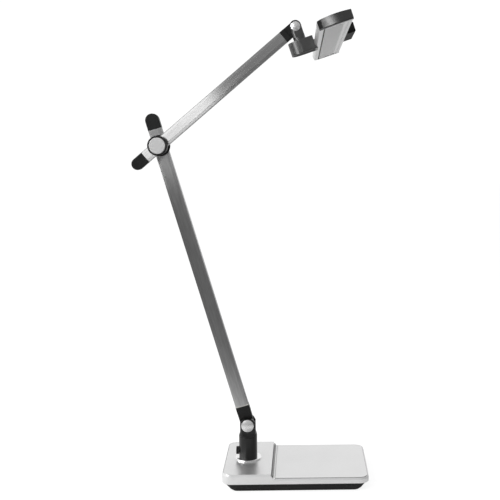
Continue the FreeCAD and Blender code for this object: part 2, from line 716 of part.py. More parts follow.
def pan_pin():
    return rod(PAN_PIN, (0, 0, PIN_END), (0, 0, -15))


def pan_retainer():
    """Washer and screw head that hold the swivel block up on the yoke's pin."""
    washer = rod(7.0, (0, 0, PIN_END - 0.8), (0, 0, PIN_END))
    head = rod(3.4, (0, 0, PIN_END - 2.4), (0, 0, PIN_END - 0.8))
    return joined(washer, head)


def pan_washer():
    return ring(7.6, PAN_PIN + 0.3, (0, 0, BLOCK_TOP), (0, 0, YOKE_FOOT - SLIP))


def bar_outline():
    """Closed section of the bar in x and z: flat top and bottom, gently bowed long sides."""
    rear, front = BAR_REAR, BAR_FRONT
    low, high = BAR_BOTTOM, BAR_TOP
    middle = (low + high) / 2
    bottom = Part.LineSegment(Vec(rear, 0, low), Vec(front, 0, low)).toShape()
    nose = Part.Arc(Vec(front, 0, low), Vec(front + BAR_BULGE, 0, middle), Vec(front, 0, high)).toShape()
    top = Part.LineSegment(Vec(front, 0, high), Vec(rear, 0, high)).toShape()
    back = Part.Arc(Vec(rear, 0, high), Vec(rear - BAR_BULGE, 0, middle), Vec(rear, 0, low)).toShape()
    return Part.Face(Part.Wire([bottom, nose, top, back]))


def bar_solid(start, end):
    solid = bar_outline().extrude(Vec(0, end - start, 0))
    solid.translate(Vec(0, start, 0))
    return solid


def block_plan(radius, reach, z0, z1):
    """The swivel block's plan: half round at the wrist and straight to the bar."""
    return joined(rod(radius, (0, 0, z0), (0, 0, z1)), box(0, reach, -radius, radius, z0, z1))


def swivel_block():
    block = block_plan(BLOCK_RADIUS, BAR_REAR + 1, BLOCK_BOTTOM, BLOCK_TOP)
    block = rounded(block, 0.8, lambda e: (lies_at(e, "z", BLOCK_TOP) or lies_at(e, "z", BLOCK_BOTTOM))
                    and not lies_at(e, "x", BAR_REAR + 1))
    block = block.cut(bar_solid(-60, 60))
    block = block.cut(box(BAR_REAR - 1.4, BAR_REAR + 5, -60, 60, BAR_TOP - 0.01, BLOCK_TOP + 1))
    block = block.cut(block_plan(BLOCK_RADIUS - 1.7, 15.6, BLOCK_BOTTOM - 1, COVER_TOP))
    room = block_plan(BLOCK_RADIUS - 2.9, 11.5, BLOCK_BOTTOM - 1, PIN_END + 0.05)
    block = block.cut(room)
    block = block.cut(rod(PAN_PIN + RUNNING, (0, 0, -60), (0, 0, 0)))
    for y in HEAD_SCREW_Y:
        block = block.cut(rod(1.6, (0, y, HEAD_SCREW_Z), (30, y, HEAD_SCREW_Z)))
    return block


HEAD_SCREW_Y = (-10.0, 10.0)
HEAD_SCREW_Z = -32.6


def head_screws():
    screws = []
    for y in HEAD_SCREW_Y:
        head = rod(1.55, (9.0, y, HEAD_SCREW_Z), (11.5, y, HEAD_SCREW_Z))
        shank = rod(1.55, (11.5, y, HEAD_SCREW_Z), (20.2, y, HEAD_SCREW_Z))
        screws.append(joined(head, shank))
    return screws


def swivel_cover():
    cover = block_plan(BLOCK_RADIUS - 2.3, 15.0, COVER_FACE, COVER_TOP)
    return rounded(cover, 1.0, lambda e: lies_at(e, "z", COVER_FACE))


CHAMBER = (22.4, 50.4)       # LED chamber, rear and front wall
WINDOW = (22.9, 49.7)        # opening in the underside
WINDOW_SLOPE = 2.2           # its front edge slopes inwards by this much
LIP_TOP = -33.5


def head_extrusion():
    bar = bar_solid(-BAR_HALF, BAR_HALF)
    bar = rounded(bar, 0.5, lambda e: parallel(e, ALONG_Y))
    long = BAR_HALF + 1
    bar = bar.cut(box(CHAMBER[0], CHAMBER[1], -long, long, LIP_TOP, -26.0))
    inner = WINDOW[1] - WINDOW_SLOPE
    bar = bar.cut(box(WINDOW[0], inner, -long, long, BAR_BOTTOM - 1, LIP_TOP + 0.01))
    lip = [(inner, LIP_TOP), (WINDOW[1], BAR_BOTTOM), (WINDOW[1], BAR_BOTTOM - 1), (inner, BAR_BOTTOM - 1)]
    bar = bar.cut(outline_xz(lip, long))
    channel = [(WINDOW[1] + 0.5, BAR_BOTTOM - 1), (WINDOW[1] + 0.5, BAR_BOTTOM + 0.1),
               (53.2, BAR_BOTTOM + 0.75), (53.5, BAR_BOTTOM - 1)]
    bar = bar.cut(outline_xz(channel, long))
    bar = bar.cut(box(52.0, 55.4, -long, long, -33.2, -26.2))
    for y in HEAD_SCREW_Y:
        bar = bar.cut(rod(1.55, (10, y, HEAD_SCREW_Z), (20.2, y, HEAD_SCREW_Z)))
    return bar


def diffuser():
    wide = box(CHAMBER[0] + 0.1, CHAMBER[1] - 0.1, -BAR_HALF, BAR_HALF, LIP_TOP, LIP_TOP + 1.2)
    face = box(WINDOW[0] + 1.8, WINDOW[1] - WINDOW_SLOPE - 0.1, -BAR_HALF, BAR_HALF,
               BAR_BOTTOM + 0.4, LIP_TOP)
    return joined(wide, face)


def led_board():
    return box(24.0, 48.8, -BAR_HALF + 3, BAR_HALF - 3, -27.2, -26.0)


def led_chips():
    pitch = 2 * (BAR_HALF - 8) / (LED_COUNT - 1)
    chips = []
    for k in range(LED_COUNT):
        y = -BAR_HALF + 8 + k * pitch
        chips.append(box(35.0, 37.8, y - 1.75, y + 1.75, -27.9, -27.2))
    return chips


CAP_FRONT = BAR_FRONT + 0.9
CAP_CROWN = 1.2              # the cap's top stands this far above the bar's in the middle
CAP_LIP = 1.5                # bevel along the lower edge of the cap's face
CAP_BOW = [(22.3, -2.2), (40.0, 1.1), (CAP_FRONT, 1.45)]    # x and height of the face's bow
CAP_CORNER = (17.0, -8.4)    # where the slanted rear corner runs out


def cap_section(width):
    """A slice of the end cap: flat below and crowned on top."""
    low = Part.LineSegment(Vec(BAR_REAR, 0, BAR_BOTTOM), Vec(CAP_FRONT, 0, BAR_BOTTOM)).toShape()
    nose = Part.LineSegment(Vec(CAP_FRONT, 0, BAR_BOTTOM), Vec(CAP_FRONT, 0, BAR_TOP)).toShape()
    middle = (BAR_REAR + CAP_FRONT) / 2
    top = Part.Arc(Vec(CAP_FRONT, 0, BAR_TOP), Vec(middle, 0, BAR_TOP + CAP_CROWN),
                   Vec(BAR_REAR, 0, BAR_TOP)).toShape()
    back = Part.LineSegment(Vec(BAR_REAR, 0, BAR_TOP), Vec(BAR_REAR, 0, BAR_BOTTOM)).toShape()
    return Part.Face(Part.Wire([low, nose, top, back])).extrude(Vec(0, width, 0))


def end_cap(side):
    """A cap for the bar's end: bowed face, slanted rear corner and a bevel along its lower edge."""
    inner, face = side * BAR_HALF, side * CAP_FACE
    start, end = sorted((inner, face + side * 1.7))
    cap = cap_section(end - start)
    cap.translate(Vec(0, start, 0))
    bow = [Vec(x, face + side * y, -50) for x, y in CAP_BOW]
    corner = Vec(CAP_CORNER[0], face + side * CAP_CORNER[1], -50)
    beyond = face + side * 10
    corners = [bow[2], Vec(bow[2].x + 2, bow[2].y, -50), Vec(bow[2].x + 2, beyond, -50),
               Vec(corner.x, beyond, -50), corner, bow[0]]
    lines = [Part.LineSegment(a, b).toShape() for a, b in zip(corners, corners[1:])]
    trim = Part.Face(Part.Wire([Part.Arc(*bow).toShape()] + lines)).extrude(Vec(0, 0, 60))
    cap = cap.cut(trim)
    cap = bevelled(cap, CAP_LIP, lambda e: lies_at(e, "z", BAR_BOTTOM)
                   and abs(e.BoundBox.Center.y) > BAR_HALF + 3 and not parallel(e, ALONG_Y))
    plug = box(52.5, 54.9, *sorted((inner, inner - side * 5)), -32.8, -26.8)
    cap = joined(cap, plug)
    for x in CAP_SCREW_X:
        ends = [(x, inner + side * reach, CAP_SCREW_Z) for reach in (-9, 5)]
        cap = cap.cut(rod(PIN_RADIUS, *ends))
    return cap


CAP_SCREW_X = (53.7,)
CAP_SCREW_Z = -29.8
PIN_RADIUS = 0.9


def end_cap_pins():
    """Barbed pins that hold each cap in the extrusion's front hollow."""
    pins = []
    for side in (-1, 1):
        for x in CAP_SCREW_X:
            start = (x, side * (BAR_HALF - 9), CAP_SCREW_Z)
            pins.append(rod(PIN_RADIUS, start, (x, side * (BAR_HALF + 5), CAP_SCREW_Z)))
    return pins


def control_housing():
    body = soft_box(BAR_FRONT - 2, HOUSING_FRONT, -HOUSING_HALF, HOUSING_HALF,
                    HOUSING_BOTTOM, HOUSING_TOP, 1.6, ALONG_Y)
    body = body.cut(bar_solid(-60, 60))
    body = body.cut(box(0, BAR_FRONT + 0.01, -60, 60, -60, 0))
    room = box(BAR_FRONT + 3.2, HOUSING_FRONT - 2, -HOUSING_HALF + 2, HOUSING_HALF - 2,
               HOUSING_BOTTOM + 2, HOUSING_TOP + 1)
    return body.cut(room)


def touch_panel():
    return box(BAR_FRONT + 3.2, HOUSING_FRONT - 2, -HOUSING_HALF + 2, HOUSING_HALF - 2,
               HOUSING_TOP - 1.4, HOUSING_TOP - 0.2)


def driver_board():
    return box(BAR_FRONT + 3.6, HOUSING_FRONT - 2.4, -36, 36, HOUSING_BOTTOM + 2, HOUSING_BOTTOM + 3.6)


def driver_parts():
    """The tall parts on the driver board: a choke, two capacitors and the control chip."""
    top = HOUSING_BOTTOM + 3.6
    x = (BAR_FRONT + HOUSING_FRONT) / 2 + 0.6
    choke = box(x - 3, x + 3, -26, -18, top, top + 4)
    cans = [rod(2.4, (x, y, top), (x, y, top + 5)) for y in (-8, 0)]
    chip = box(x - 2.5, x + 2.5, 12, 19, top, top + 1.2)
    return [choke, chip] + cans


def main():
    os.makedirs("parts", exist_ok=True)
    write("base_shell", base_shell())
    write("deck_plate", deck_plate())
    write("tray_plate", tray_plate())
    write("base_tray", base_tray())
    write("rubber_feet", *rubber_feet())
    write("base_screws", *base_screws())
    write("ballast_plate", ballast_plate())
    write("dc_inlet", dc_inlet())
    write("dc_pin", dc_pin())
    write("base_lead", base_lead())
    write("collar_ring", collar_ring())
    write("post_socket", post_socket())
    write("post_nut", post_nut())
    write("swivel_washer", swivel_washer())
    write("thumb_knob", thumb_knob())
    write("thumb_shank", thumb_shank())
    write("clevis", clevis())
    write("swivel_spigot", swivel_spigot())
    write("tilt_bolt", tilt_bolt())
    write("tilt_cap_front", tilt_cap(-1))
    write("tilt_cap_rear", tilt_cap(1))
    write("tilt_washers", *tilt_washers())

    write("lower_foot", on_lower(lower_foot()))
    write("lower_tube", on_lower(lower_tube()))
    write("lower_top_cap", on_lower(arm_cap(LOWER_LENGTH + CAP_START, LOWER_LENGTH + LOWER_CAP_END,
                                            LOWER_HALF)))
    write("lower_rivets", *[on_lower(rivet(x)) for x in RIVETS_LOW])
    write("lower_lead", on_lower(flat_lead(FOOT_END + PLUG_DEPTH, LOWER_LENGTH - 6)))
    write("elbow_bush", on_lower(elbow_bush()))
    write("elbow_hub", on_lower(elbow_hub()))

    write("upper_tube", on_upper(upper_tube()))
    write("upper_tail_cap", on_upper(arm_cap(-CAP_START - 0.7, -UPPER_CAP_END, UPPER_HALF)))
    write("tip_fitting", on_upper(tip_fitting()))
    write("upper_rivets", *[on_upper(rivet(x)) for x in RIVETS_HIGH])
    write("upper_lead", on_upper(flat_lead(5, TIP_START - PLUG_DEPTH)))
    write("elbow_bolt", on_upper(elbow_bolt()))
    write("knob_ring", on_upper(knob_ring()))
    write("knob_disc", on_upper(knob_disc()))
    write("spring_washer", on_upper(spring_washer()))
    write("elbow_nut", on_upper(elbow_nut()))
    write("elbow_rear_cap", on_upper(elbow_rear_cap()))

    write("wrist_yoke", on_head(yoke()))
    write("wrist_bolt", on_head(wrist_bolt()))
    write("wrist_cap_front", on_head(wrist_cap(-1)))
    write("wrist_cap_rear", on_head(wrist_cap(1)))
    write("wrist_washers", *[on_head(w) for w in wrist_washers()])
    write("pan_pin", on_head(pan_pin()))
    write("pan_retainer", on_head(pan_retainer()))

    write("swivel_block", on_head(swivel_block()))
    write("swivel_cover", on_head(swivel_cover()))
    write("pan_washer", on_head(pan_washer()))
    write("head_screws", *[on_head(s) for s in head_screws()])
    write("head_extrusion", on_head(head_extrusion()))
    write("diffuser", on_head(diffuser()))
    write("led_board", on_head(led_board()))
    write("led_chips", *[on_head(c) for c in led_chips()])
    write("end_caps", *[on_head(end_cap(side)) for side in (-1, 1)])
    write("end_cap_pins", *[on_head(p) for p in end_cap_pins()])
    write("control_housing", on_head(control_housing()))
    write("touch_panel", on_head(touch_panel()))
    write("driver_board", on_head(driver_board()), *[on_head(p) for p in driver_parts()])


main()
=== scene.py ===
import math
import bpy
from mathutils import Matrix, Vector

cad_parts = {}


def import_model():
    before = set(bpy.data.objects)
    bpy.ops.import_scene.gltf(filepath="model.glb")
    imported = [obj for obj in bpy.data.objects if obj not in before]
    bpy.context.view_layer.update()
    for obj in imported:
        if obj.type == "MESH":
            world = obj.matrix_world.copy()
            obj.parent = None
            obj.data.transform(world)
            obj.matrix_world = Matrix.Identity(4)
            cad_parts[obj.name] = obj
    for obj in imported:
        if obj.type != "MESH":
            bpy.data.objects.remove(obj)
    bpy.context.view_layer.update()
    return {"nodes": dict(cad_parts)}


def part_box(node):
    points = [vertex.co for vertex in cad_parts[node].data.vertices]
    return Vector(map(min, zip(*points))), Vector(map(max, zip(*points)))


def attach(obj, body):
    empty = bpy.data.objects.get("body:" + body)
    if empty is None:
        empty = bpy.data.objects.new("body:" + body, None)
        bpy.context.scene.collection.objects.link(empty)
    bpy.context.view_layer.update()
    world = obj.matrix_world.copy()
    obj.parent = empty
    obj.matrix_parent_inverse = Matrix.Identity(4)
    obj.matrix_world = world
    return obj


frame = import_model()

NODES = frame["nodes"]

# ---- leans of the three moving pieces, in degrees above +X ----
LOWER_LEAN = 106.2
UPPER_LEAN = 40.3
HEAD_LEAN = 18.85

STEP_EDGE = 0.0015           # from the deck plate to the edge of the step, metres

# ---- studio: distances in metres, radiances as a share of paper white ----
FLOOR_NEAR, FLOOR_FAR = 0.16, 0.60       # the floor gives back less light between these
FLOOR_LIGHT, FLOOR_DARK = 0.90, 0.20     # albedo at the two distances
GLOW_NEAR, GLOW_FAR = 0.1, 1.2           # behind the lamp the floor glows, from here to here
FLOOR_BACK = 0.5                         # up to this much
FLOOR_SHOWN, FLOOR_GLOW = 0.30, 0.86     # albedo and glow that the camera itself sees
FLOOR_RADIUS = 9
ROOM_FRONT, ROOM_HIGH, ROOM_BACK = 0.24, 0.38, 0.95
ROOM_EDGE = (0.0, 0.75)                  # the room turns from dim to bright between these depths
ROOM_RISE = 0.2                          # height at which ROOM_FRONT has become ROOM_HIGH
ROOM_SKEW = -0.2                         # makes the right side dimmer than the left
BACKDROP = 1.05
MID_ARM = (-0.0377, -0.017, 0.5343)      # where the kicker's edge falls on the upper arm
KICK_DISTANCE = 0.7
KICK_WIDTH, KICK_HEIGHT, KICK_RAISE = 0.70, 0.36, 0.16
KICK_RADIANCE = 1.18

# ---- camera ----
EYE = (0.07753, -1.17367, 0.47780)
PITCH, YAW = 0.1298, 0.0295
FOCAL_LENGTH, SENSOR, SHIFT = 61.2, 36, -0.153

# ---- material tools ----
class Mat:
    """A node material under construction, with short ways to add and join nodes."""

    def __init__(self, name):
        self.mat = bpy.data.materials.new(name)
        self.mat.use_nodes = True
        self.tree = self.mat.node_tree
        self.shader = self.tree.nodes["Principled BSDF"]
        self.coords = self.add("ShaderNodeTexCoord").outputs["Object"]

    def add(self, kind, **props):
        node = self.tree.nodes.new(kind)
        for key, value in props.items():
            setattr(node, key, value)
        return node

    def link(self, source, target):
        self.tree.links.new(source, target)

    def put(self, **values):
        for key, value in values.items():
            self.shader.inputs[key.replace("_", " ")].default_value = value

    def stretched(self, lean=0.0, scale=(1, 1, 1)):
        """Coordinates turned so that x runs along the leaned piece, then scaled."""
        turn = self.add("ShaderNodeMapping", vector_type="POINT")
        turn.inputs["Rotation"].default_value = (0, math.radians(lean), 0)
        self.link(self.coords, turn.inputs["Vector"])
        grow = self.add("ShaderNodeMapping", vector_type="POINT")
        grow.inputs["Scale"].default_value = scale
        self.link(turn.outputs["Vector"], grow.inputs["Vector"])
        return grow.outputs["Vector"]

    def noise(self, vector, scale, detail=3.0, rough=0.55):
        node = self.add("ShaderNodeTexNoise")
        node.inputs["Scale"].default_value = scale
        node.inputs["Detail"].default_value = detail
        node.inputs["Roughness"].default_value = rough
        self.link(vector, node.inputs["Vector"])
        return node.outputs["Fac"]

    def band(self, fac, low, high, from_min=0.3, from_max=0.7):
        """Maps a 0..1 pattern to a range of values."""
        node = self.add("ShaderNodeMapRange")
        node.inputs["From Min"].default_value = from_min
        node.inputs["From Max"].default_value = from_max
        node.inputs["To Min"].default_value = low
        node.inputs["To Max"].default_value = high
        self.link(fac, node.inputs["Value"])
        return node.outputs["Result"]

    def ramp(self, fac, dark, light, from_min=0.3, from_max=0.7):
        """Mixes two colours by a pattern."""
        node = self.add("ShaderNodeMix", data_type="RGBA")
        node.inputs["A"].default_value = (*dark, 1)
        node.inputs["B"].default_value = (*light, 1)
        self.link(self.band(fac, 0, 1, from_min, from_max), node.inputs["Factor"])
        return node.outputs["Result"]

    def bump(self, height, strength, distance):
        node = self.add("ShaderNodeBump")
        node.inputs["Strength"].default_value = strength
        node.inputs["Distance"].default_value = distance
        self.link(height, node.inputs["Height"])
        return node.outputs["Normal"]

    def set(self, socket, source):
        self.link(source, self.shader.inputs[socket])


def grey(value):
    return (value, value, value)


def brushed(name, lean, base, rough, anis=0.97, streak=0.07):
    """Metal with brush lines along the leaned piece, which spread a highlight out across them."""
    m = Mat(name)
    m.put(Metallic=1.0, Anisotropic=anis)
    lines = m.noise(m.stretched(lean, (60, 1100, 1100)), 1.0, 2.0)
    broad = m.noise(m.stretched(lean, (40, 330, 330)), 1.0, 4.0)
    mixed = m.add("ShaderNodeMix", data_type="FLOAT")
    mixed.inputs["Factor"].default_value = 0.5
    m.link(lines, mixed.inputs["A"])
    m.link(broad, mixed.inputs["B"])
    pattern = mixed.outputs["Result"]
    m.set("Base Color", m.ramp(pattern, grey(base - streak), grey(base + streak), 0.35, 0.65))
    m.set("Roughness", m.band(broad, rough - 0.01, rough + 0.01))
    along = m.add("ShaderNodeCombineXYZ")
    turn = math.radians(lean)
    along.inputs["X"].default_value = math.cos(turn)
    along.inputs["Z"].default_value = math.sin(turn)
    placed = m.add("ShaderNodeVectorTransform", vector_type="VECTOR",
                   convert_from="OBJECT", convert_to="WORLD")
    m.link(along.outputs["Vector"], placed.inputs["Vector"])
    facing = m.add("ShaderNodeNewGeometry")
    across = m.add("ShaderNodeVectorMath", operation="CROSS_PRODUCT")
    m.link(facing.outputs["True Normal"], across.inputs[0])
    m.link(placed.outputs["Vector"], across.inputs[1])
    m.link(across.outputs["Vector"], m.shader.inputs["Tangent"])
    return m.mat


def satin_black(name, base=0.012, rough=0.42, grain=2600, depth=0.1, shine=0.5):
    """Moulded black plastic or powder coat with a fine even texture."""
    m = Mat(name)
    m.put(Specular_IOR_Level=shine)
    cells = m.noise(m.stretched(scale=(1, 1, 1)), grain, 2.0)
    broad = m.noise(m.stretched(scale=(1, 1, 1)), 90, 3.0)
    m.set("Base Color", m.ramp(broad, grey(base * 0.8), grey(base * 1.25)))
    m.set("Roughness", m.band(broad, rough - 0.04, rough + 0.05))
    m.set("Normal", m.bump(cells, depth, 0.0003))
    return m.mat


def gloss_black(name, base=0.01, rough=0.16, ior=2.1):
    m = Mat(name)
    m.put(IOR=ior)
    smear = m.noise(m.stretched(scale=(1, 1, 1)), 140, 4.0)
    m.set("Base Color", m.ramp(smear, grey(base * 0.8), grey(base * 1.3)))
    m.set("Roughness", m.band(smear, rough - 0.02, rough + 0.03))
    m.set("Normal", m.bump(smear, 0.004, 0.0002))
    return m.mat


def polished(name, base=0.86, rough=0.09):
    m = Mat(name)
    m.put(Metallic=1.0)
    haze = m.noise(m.stretched(scale=(1, 1, 1)), 420, 4.0)
    m.set("Base Color", m.ramp(haze, grey(base - 0.05), grey(base + 0.03)))
    m.set("Roughness", m.band(haze, rough - 0.03, rough + 0.07))
    m.set("Normal", m.bump(haze, 0.015, 0.0003))
    return m.mat


def silver_coat(name, base=0.80, rough=0.34, metal=0.75):
    """Silver paint: fine flakes under a satin coat."""
    m = Mat(name)
    m.put(Metallic=metal)
    flake = m.add("ShaderNodeTexVoronoi", feature="F1")
    flake.inputs["Scale"].default_value = 2600
    m.link(m.stretched(scale=(1, 1, 1)), flake.inputs["Vector"])
    broad = m.noise(m.stretched(scale=(1, 1, 1)), 30, 4.0)
    m.set("Base Color", m.ramp(flake.outputs["Distance"], grey(base - 0.06), grey(base + 0.03), 0.1, 0.6))
    m.set("Roughness", m.band(broad, rough - 0.04, rough + 0.05))
    m.set("Normal", m.bump(flake.outputs["Distance"], 0.06, 0.0002))
    return m.mat


def plain(name, colour, rough, metal=0.0, scale=220):
    """Small or hidden pieces: an even colour broken up by fine noise."""
    change, depth = 0.12, 0.08
    m = Mat(name)
    m.put(Metallic=metal)
    spots = m.noise(m.stretched(scale=(1, 1, 1)), scale, 4.0)
    m.set("Base Color", m.ramp(spots, [c * (1 - change) for c in colour],
                               [min(1, c * (1 + change)) for c in colour]))
    m.set("Roughness", m.band(spots, rough - 0.06, rough + 0.06))
    m.set("Normal", m.bump(spots, depth, 0.0004))
    return m.mat


def frosted(name):
    """White diffuser sheet with a fine grain and faint streaks of tone along the bar."""
    m = Mat(name)
    m.put(Subsurface_Weight=0.3, Subsurface_Scale=0.002, Roughness=0.5)
    m.shader.inputs["Subsurface Radius"].default_value = (1, 1, 1)
    fine = m.noise(m.stretched(HEAD_LEAN, (1, 1, 1)), 1500, 2.0)
    broad = m.noise(m.stretched(HEAD_LEAN, (1, 0.3, 1)), 40, 2.0)
    m.set("Base Color", m.ramp(broad, grey(0.92), grey(0.96)))
    m.set("Roughness", m.band(fine, 0.42, 0.58))
    m.set("Normal", m.bump(fine, 0.05, 0.0002))
    return m.mat


lower_metal = brushed("lower_arm_brushed", LOWER_LEAN, 0.65, 0.35)
upper_metal = brushed("upper_arm_brushed", UPPER_LEAN, 0.65, 0.25)
head_metal = silver_coat("head_satin_aluminium", 0.78, 0.32, 1.0)
base_coat = silver_coat("base_silver", 0.93, 0.36, 0.4)
plate_coat = silver_coat("plate_silver", 0.78, 0.33, 0.85)
black = satin_black("black_moulded", 0.010, 0.47, shine=0.35)
matte = satin_black("black_matte", 0.010, 0.62, 1800, 0.12, shine=0.2)
post_black = satin_black("black_satin_metal", 0.004, 0.30, 3200, 0.02)
gloss = gloss_black("black_gloss", rough=0.30)
chrome = polished("chrome", 0.92, 0.12)
stud = silver_coat("stud_satin", 0.90, 0.26, 0.6)
cap_black = gloss_black("cap_black", 0.008, 0.15, 2.0)
disc_metal = silver_coat("disc_satin", 0.88, 0.34, 0.3)
# painted shade: dark grey for the strip that stands in for the shade on the step's riser
painted_step_shade = silver_coat("painted_step_shade", 0.30, 0.4, 0.9)
steel = plain("zinc_steel", (0.55, 0.55, 0.57), 0.35, 1.0)
iron = plain("cast_weight", (0.22, 0.22, 0.23), 0.7, 0.8)
brass = plain("brass", (0.78, 0.6, 0.28), 0.3, 1.0)
rubber = plain("rubber", (0.03, 0.03, 0.03), 0.8, 0.0, 900)
nylon = plain("nylon", (0.7, 0.7, 0.66), 0.45)
cable = plain("lead_sheath", (0.72, 0.72, 0.71), 0.5)
solder_white = plain("board_white", (0.85, 0.86, 0.85), 0.4)
solder_green = plain("board_green", (0.05, 0.22, 0.1), 0.35)
phosphor = plain("led_phosphor", (0.9, 0.75, 0.3), 0.4)
milky = frosted("diffuser_frosted")

LOOKS = {
    "base_shell": base_coat, "deck_plate": plate_coat, "tray_plate": plate_coat,
    "base_tray": black, "rubber_feet": rubber, "base_screws": steel, "ballast_plate": iron,
    "dc_inlet": black, "dc_pin": brass, "base_lead": cable, "collar_ring": chrome,
    "post_socket": post_black, "post_nut": steel, "swivel_washer": black,
    "thumb_knob": black, "thumb_shank": steel,
    "clevis": post_black, "swivel_spigot": steel, "tilt_bolt": steel,
    "tilt_cap_front": stud, "tilt_cap_rear": stud, "tilt_washers": nylon,
    "lower_foot": black, "lower_tube": lower_metal, "lower_top_cap": black,
    "lower_rivets": steel, "lower_lead": cable, "elbow_bush": nylon, "elbow_hub": black,
    "upper_tube": upper_metal, "upper_tail_cap": black, "tip_fitting": black,
    "upper_rivets": steel, "upper_lead": cable, "elbow_bolt": steel,
    "knob_ring": black, "knob_disc": disc_metal, "spring_washer": steel, "elbow_nut": steel,
    "elbow_rear_cap": black,
    "wrist_yoke": gloss, "wrist_bolt": steel, "wrist_cap_front": stud,
    "wrist_cap_rear": stud, "wrist_washers": nylon, "pan_pin": steel, "pan_retainer": steel,
    "swivel_block": gloss, "swivel_cover": matte, "pan_washer": nylon, "head_screws": steel,
    "head_extrusion": head_metal, "diffuser": milky, "led_board": solder_white,
    "led_chips": phosphor, "end_caps": cap_black, "end_cap_pins": steel,
    "control_housing": matte, "touch_panel": gloss, "driver_board": solder_green,
}
for node, look in LOOKS.items():
    mesh = NODES[node].data
    mesh.materials.clear()
    mesh.materials.append(look)


# ---- small pieces added beside the CAD model: three strips of painted shade and one band of painted highlight ----
def loft(name, sections, look, body):
    """A closed solid through a row of four-cornered sections."""
    verts = [point for section in sections for point in section]
    faces = [(3, 2, 1, 0), tuple(len(verts) - 4 + k for k in range(4))]
    for first in range(0, len(verts) - 4, 4):
        for k in range(4):
            after = (k + 1) % 4
            faces.append((first + k, first + after, first + 4 + after, first + 4 + k))
    return solid(name, verts, faces, look, body)


def solid(name, verts, faces, look, body):
    mesh = bpy.data.meshes.new(name)
    mesh.from_pydata(verts, [], faces)
    mesh.materials.append(look)
    piece = bpy.data.objects.new(name, mesh)
    bpy.context.collection.objects.link(piece)
    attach(piece, body)
    return piece


def centre(node):
    low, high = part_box(node)
    return (low + high) / 2


def placed(origin, lean, along, across, rise):
    """A point in a leaned piece's own frame, in millimetres from origin."""
    turn = math.radians(lean)
    run = Vector((math.cos(turn), 0, math.sin(turn)))
    up = Vector((-math.sin(turn), 0, math.cos(turn)))
    return origin + (run * along + Vector((0, 1, 0)) * across + up * rise) / 1000


def tray_gap_shade():
    """Painted shade: a dark rubber-coloured strip in the wide gap along the tray plate's front edge and
    round its right corner, standing in for the shade in the gap.
    """
    low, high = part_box("tray_plate")
    shell_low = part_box("base_shell")[0]
    inset, reach, proud, height = 0.00155, 0.0114, 0.00025, 0.0016
    gap, taper = 0.00003, 0.985          # to the plate, and the strip's narrowing round the corner
    first_turn, turn_step, turns = -90, 5, 15
    top = high.z + proud
    corner = high.x - reach
    path = [((low.x, shell_low.y + inset), (low.x, low.y - gap))]
    for step in range(turns):
        turn = math.radians(first_turn + turn_step * step)
        swing = Vector((math.cos(turn), math.sin(turn))) * reach
        path.append(((corner + swing.x, shell_low.y + inset + reach + swing.y),
                     (corner + swing.x * taper, low.y - gap + reach + swing.y)))
    sections = [[(*outer, top - height), (*inner, top - height), (*inner, top), (*outer, top)]
                for outer, inner in path]
    loft("tray_front_gap_shade", sections, rubber, "base")


def step_shade_strip():
    """Painted shade: a dark strip low on the step between the deck and the tray, standing in for the shade
    on the step's riser.
    """
    low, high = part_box("base_shell")
    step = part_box("deck_plate")[1].x + STEP_EDGE
    deck, margin = high.z, 0.0032
    corners = [(0.0001, -0.0013), (0.0019, -0.0046), (0.0016, -0.0050), (-0.0004, -0.0016)]
    sections = [[(step + x, y, deck + z) for x, z in corners]
                for y in (low.y + margin, high.y - margin)]
    loft("step_shade_strip", sections, painted_step_shade, "base")


def window_gap_shade():
    """Painted shade: a dark strip between the diffuser and the bar's rear lip, standing in for the shade
    in the gap there.
    """
    wrist = centre("wrist_bolt")
    bar_low, bar_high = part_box("diffuser")
    rear, front, bottom, top = 22.95, 24.65, -34.95, -33.55
    sections = []
    for end in (bar_low.y, bar_high.y):
        across = (end - wrist.y) * 1000
        sections.append([placed(wrist, HEAD_LEAN, x, across, z)
                         for x, z in ((rear, bottom), (front, bottom), (front, top), (rear, top))])
    loft("window_gap_shade", sections, rubber, "head")


def tube_end_highlight():
    """Painted highlight: a pale band between the lower arm's black foot and its tube, standing in for the
    glint on the tube's end edge.
    """
    hinge = centre("tilt_bolt")
    start, end, side, edge = 27.6, 28.7, 5.2, 9.6
    verts = [placed(hinge, LOWER_LEAN, x, y, z) for x in (start, end)
             for y, z in ((-side, -edge), (side, -edge), (side, edge), (-side, edge))]
    loft("tube_end_highlight", [verts[:4], verts[4:]], nylon, "lower_arm")


tray_gap_shade()
step_shade_strip()
window_gap_shade()
tube_end_highlight()


